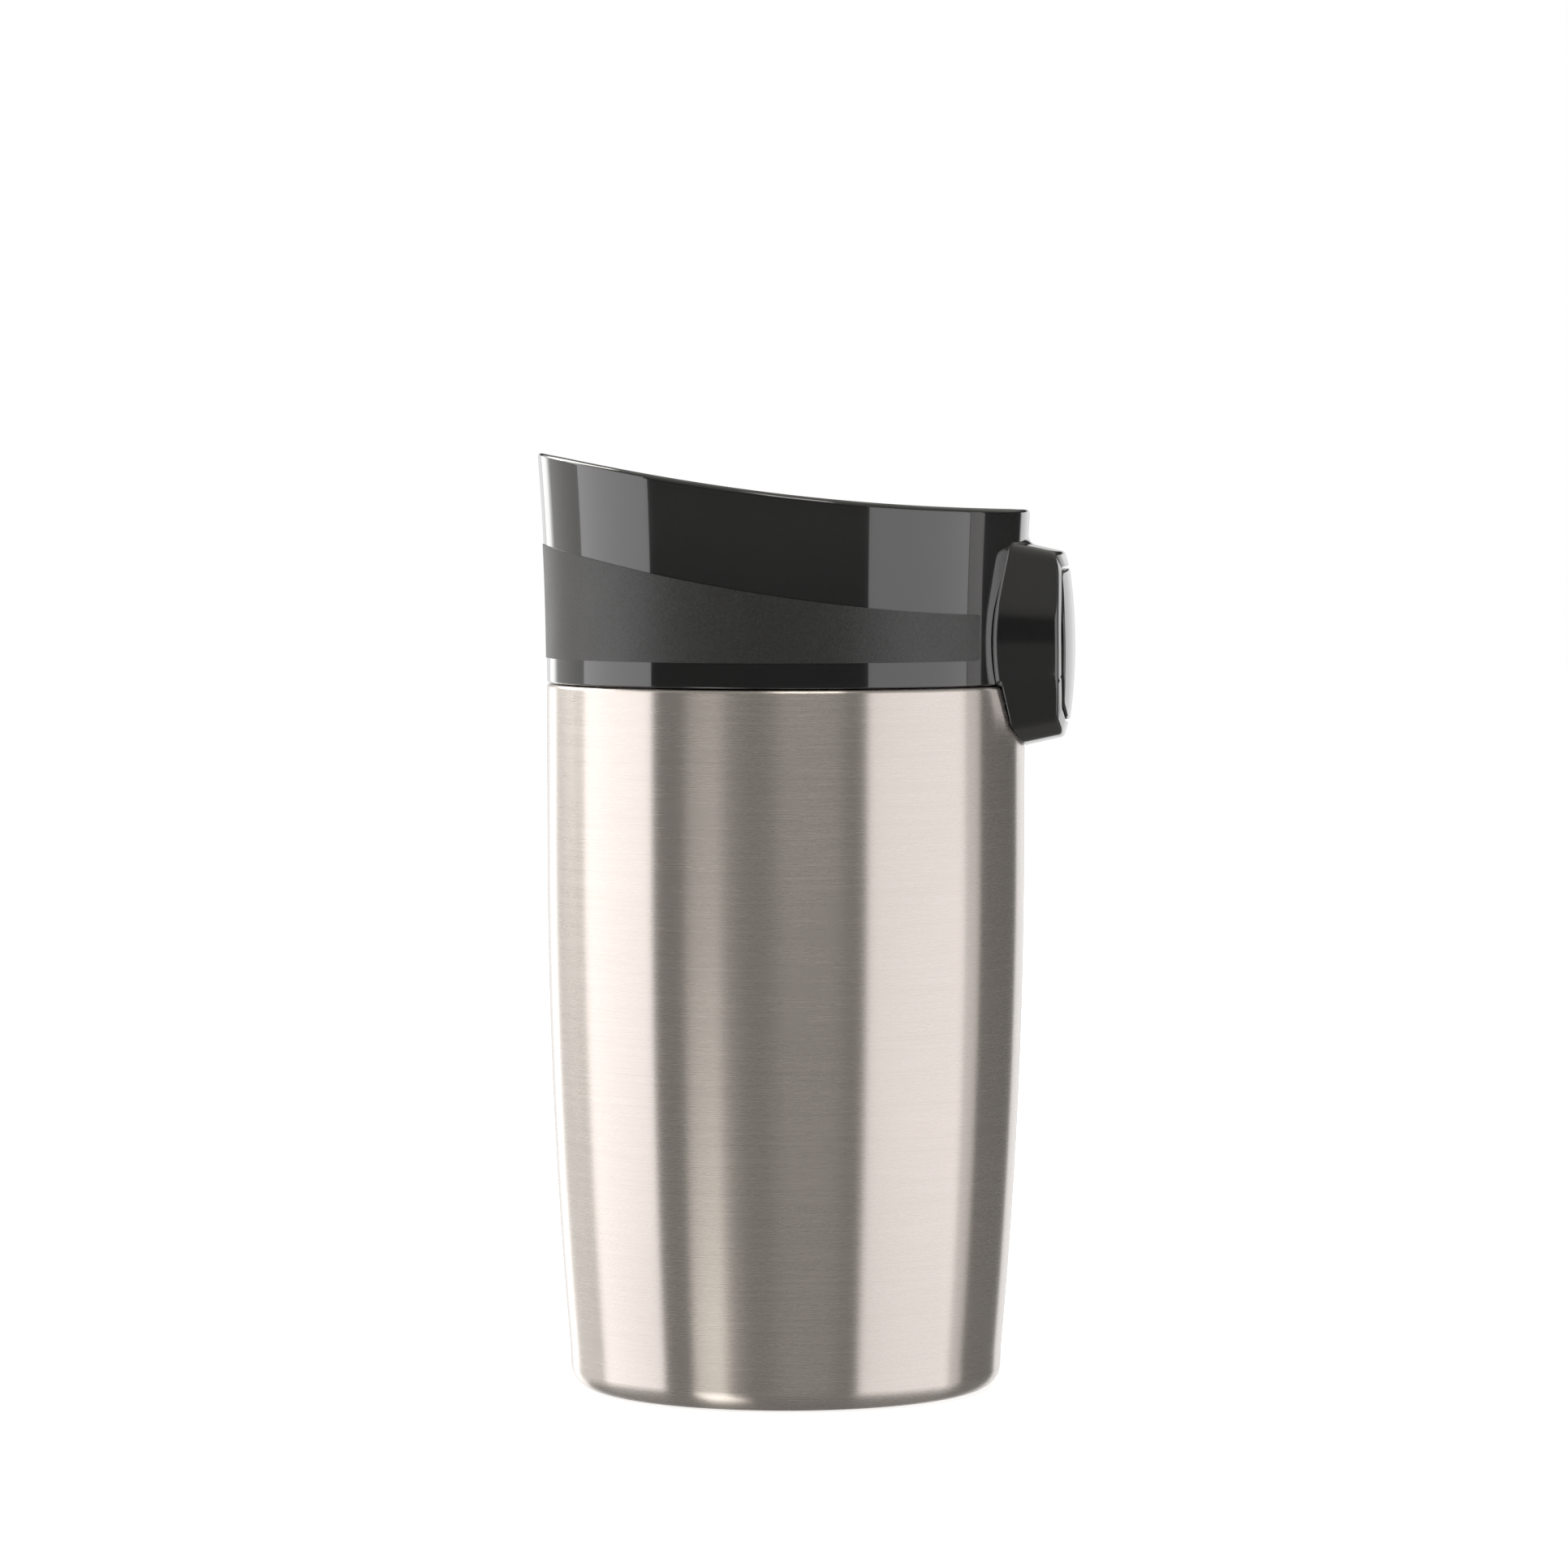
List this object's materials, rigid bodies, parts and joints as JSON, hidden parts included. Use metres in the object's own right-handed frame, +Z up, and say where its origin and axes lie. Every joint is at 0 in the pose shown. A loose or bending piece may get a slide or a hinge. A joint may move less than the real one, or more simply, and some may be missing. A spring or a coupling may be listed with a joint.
{
  "type": "insulated travel mug",
  "caption": "Double-walled steel travel mug with a black screw lid, a sloping rim, a grip band and a side push button that opens the drinking valve.",
  "frame": {"origin": "centre of the base on the mug's axis, on the surface it stands on", "axes": "+Z up along the mug's axis, +X from the axis to the push button, -X the drinking side where the rim is highest"},
  "size_m": [0.0862, 0.0786, 0.15],
  "materials": {
    "brushed_steel": "fine circumferential brushing, slightly warm",
    "plain_steel": "plain drawn stainless steel",
    "base_steel": "satin stainless steel",
    "sealing_glass": "fused glass bead",
    "getter_metal": "dull sintered metal",
    "spring_steel": "bright drawn wire",
    "gloss_black": "high gloss moulded black",
    "button_black": "gloss moulded black",
    "soft_grip": "matt soft touch with a fine grain",
    "inner_black": "satin moulded black",
    "silicone": "translucent grey silicone"
  },
  "bodies": {
    "vessel": {"outer_shell": "brushed_steel", "inner_liner": "plain_steel", "shell_bottom": "plain_steel", "base_cap": "base_steel", "vacuum_seal_bead": "sealing_glass", "getter": "getter_metal"},
    "gasket_ring": {"neck_gasket": "silicone"},
    "lid": {"lid_shell": "gloss_black", "grip_band": "soft_grip", "screw_plug": "inner_black", "button_housing": "gloss_black", "rod_guide": "inner_black", "arm_pin": "spring_steel", "valve_spring": "spring_steel", "return_spring": "spring_steel"},
    "button": {"push_button": "button_black", "push_rod": "inner_black", "rod_seal": "silicone"},
    "valve": {"valve_arm": "inner_black", "drink_seal": "silicone", "vent_seal": "silicone"}
  },
  "joints": [
    {"name": "lid_rise", "type": "slide", "parent": "vessel", "child": "gasket_ring", "axis": [0, 0, 1], "range_m": [0, 0.0241]},
    {"name": "lid_turn", "type": "hinge", "parent": "gasket_ring", "child": "lid", "pos_m": [0, 0, 0.1135], "axis": [0, 0, 1], "range_deg": [0, 720]},
    {"name": "button_press", "type": "slide", "parent": "lid", "child": "button", "axis": [-1, 0, 0], "range_m": [0, 0.0024], "stiffness_N_per_m": 800, "springref_m": -0.002, "deforming": ["return_spring"]},
    {"name": "valve_open", "type": "hinge", "parent": "lid", "child": "valve", "pos_m": [0.0054, 0, 0.13041], "axis": [0, -1, 0], "range_deg": [0, 7.01], "deforming": ["valve_spring"]}
  ],
  "couplings": [
    {"joint": "lid_rise", "follows": "lid_turn", "m_per_rad": 0.0019099},
    {"joint": "valve_open", "follows": "button_press", "rad_per_m": 50.905}
  ]
}
